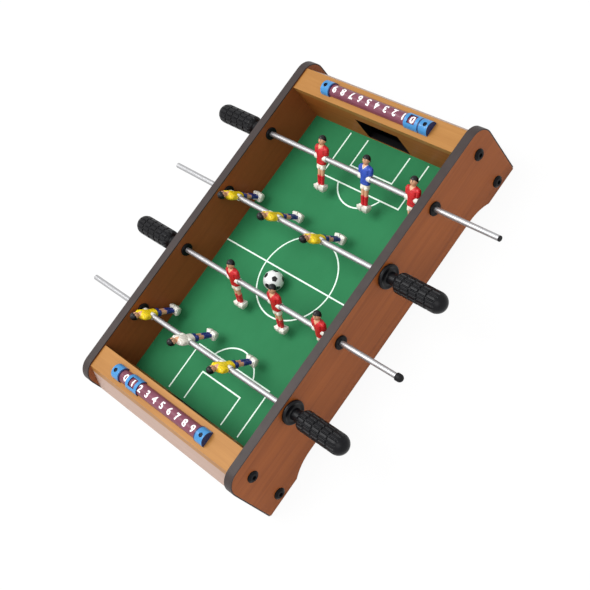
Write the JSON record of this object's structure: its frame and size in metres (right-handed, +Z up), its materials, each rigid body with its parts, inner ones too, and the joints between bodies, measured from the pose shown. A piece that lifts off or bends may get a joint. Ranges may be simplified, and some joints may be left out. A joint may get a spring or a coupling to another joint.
{
  "type": "tabletop foosball table",
  "caption": "Small tabletop foosball table with rods of painted players that slide and spin, side handles, a green field, goals at both ends and sliding score counters.",
  "frame": {"origin": "on the ground under the middle of the field", "axes": "+X along the field to the far goal, +Y along the rods to the back side, +Z up"},
  "size_m": [0.505, 0.494, 0.1088],
  "materials": {
    "panel_wood": "reddish-brown wood-grain laminate, satin",
    "edge_band": "dark grey edge strip, satin",
    "tan_wood": "orange-tan wood-grain laminate",
    "pale_board": "pale fibreboard, matt",
    "inner_wood": "brown wood-grain laminate",
    "field": "green printed board with white lines",
    "black_steel": "black",
    "steel": "plain zinc",
    "black_plastic": "moulded, satin",
    "handle_plastic": "moulded grip, soft satin",
    "black_rubber": "matt",
    "grey_plastic": "moulded, satin",
    "counter_maroon": "gloss, white digits",
    "counter_blue": "light blue moulding",
    "player_blue": "painted moulding",
    "player_cream": "painted moulding",
    "player_red": "painted moulding",
    "player_yellow": "painted moulding",
    "ball": "white with black spots",
    "chrome": "polished chrome tube"
  },
  "bodies": {
    "table": {"back_edge_band": "edge_band", "back_side_panel": "panel_wood", "barrel_nuts": "steel", "corner_blocks": "inner_wood", "counter_screws": "steel", "far_box_floor": "inner_wood", "far_counter_caps": "counter_blue", "far_counter_strip": "counter_maroon", "far_goal_board": "inner_wood", "far_return_board": "pale_board", "far_sloped_board": "pale_board", "far_top_board": "tan_wood", "frame_bolts": "black_steel", "front_edge_band": "edge_band", "front_side_panel": "panel_wood", "near_box_floor": "inner_wood", "near_counter_caps": "counter_blue", "near_counter_strip": "counter_maroon", "near_goal_board": "inner_wood", "near_return_board": "pale_board", "near_sloped_board": "pale_board", "near_top_board": "tan_wood", "play_board": "field", "rod_1_bushings": "black_plastic", "rod_2_bushings": "black_plastic", "rod_3_bushings": "black_plastic", "rod_4_bushings": "black_plastic"},
    "rod_1_plug": {"rod_1_end_plug": "black_rubber"},
    "rod_1_set": {"rod_1": "chrome", "rod_1_handle": "handle_plastic", "rod_1_player_screws": "steel", "rod_1_player_back": "player_red", "rod_1_player_middle": "player_blue", "rod_1_player_front": "player_red"},
    "rod_2_plug": {"rod_2_end_plug": "grey_plastic"},
    "rod_2_set": {"rod_2": "chrome", "rod_2_handle": "handle_plastic", "rod_2_player_screws": "steel", "rod_2_player_back": "player_yellow", "rod_2_player_middle": "player_yellow", "rod_2_player_front": "player_yellow"},
    "rod_3_plug": {"rod_3_end_plug": "black_rubber"},
    "rod_3_set": {"rod_3": "chrome", "rod_3_handle": "handle_plastic", "rod_3_player_screws": "steel", "rod_3_player_back": "player_red", "rod_3_player_middle": "player_red", "rod_3_player_front": "player_red"},
    "rod_4_plug": {"rod_4_end_plug": "grey_plastic"},
    "rod_4_set": {"rod_4": "chrome", "rod_4_handle": "handle_plastic", "rod_4_player_screws": "steel", "rod_4_player_back": "player_yellow", "rod_4_player_middle": "player_cream", "rod_4_player_front": "player_yellow"},
    "near_marker": {"near_counter_slider": "counter_blue"},
    "far_marker": {"far_counter_slider": "counter_blue"},
    "game_ball": {"ball": "ball"}
  },
  "joints": [
    {"name": "rod_1_slide", "type": "slide", "parent": "table", "child": "rod_1_plug", "axis": [0, 1, 0], "range_m": [0, 0.08]},
    {"name": "rod_1_spin", "type": "hinge", "parent": "rod_1_plug", "child": "rod_1_set", "pos_m": [0.1405, 0, 0.082], "axis": [0, 1, 0], "continuous": true},
    {"name": "rod_2_slide", "type": "slide", "parent": "table", "child": "rod_2_plug", "axis": [0, -1, 0], "range_m": [0, 0.084]},
    {"name": "rod_2_spin", "type": "hinge", "parent": "rod_2_plug", "child": "rod_2_set", "pos_m": [0.046, 0, 0.082], "axis": [0, 1, 0], "continuous": true},
    {"name": "rod_3_slide", "type": "slide", "parent": "table", "child": "rod_3_plug", "axis": [0, 1, 0], "range_m": [0, 0.08]},
    {"name": "rod_3_spin", "type": "hinge", "parent": "rod_3_plug", "child": "rod_3_set", "pos_m": [-0.046, 0, 0.082], "axis": [0, 1, 0], "continuous": true},
    {"name": "rod_4_slide", "type": "slide", "parent": "table", "child": "rod_4_plug", "axis": [0, -1, 0], "range_m": [0, 0.084]},
    {"name": "rod_4_spin", "type": "hinge", "parent": "rod_4_plug", "child": "rod_4_set", "pos_m": [-0.1405, 0, 0.082], "axis": [0, 1, 0], "continuous": true},
    {"name": "near_marker_slide", "type": "slide", "parent": "table", "child": "near_marker", "axis": [0, 1, 0], "range_m": [-0.1144, 0.0148]},
    {"name": "far_marker_slide", "type": "slide", "parent": "table", "child": "far_marker", "axis": [0, 1, 0], "range_m": [0, 0.1292]},
    {"name": "ball_lift", "type": "slide", "parent": "table", "child": "game_ball", "axis": [0, 0, 1], "range_m": [0, 0.12]}
  ]
}
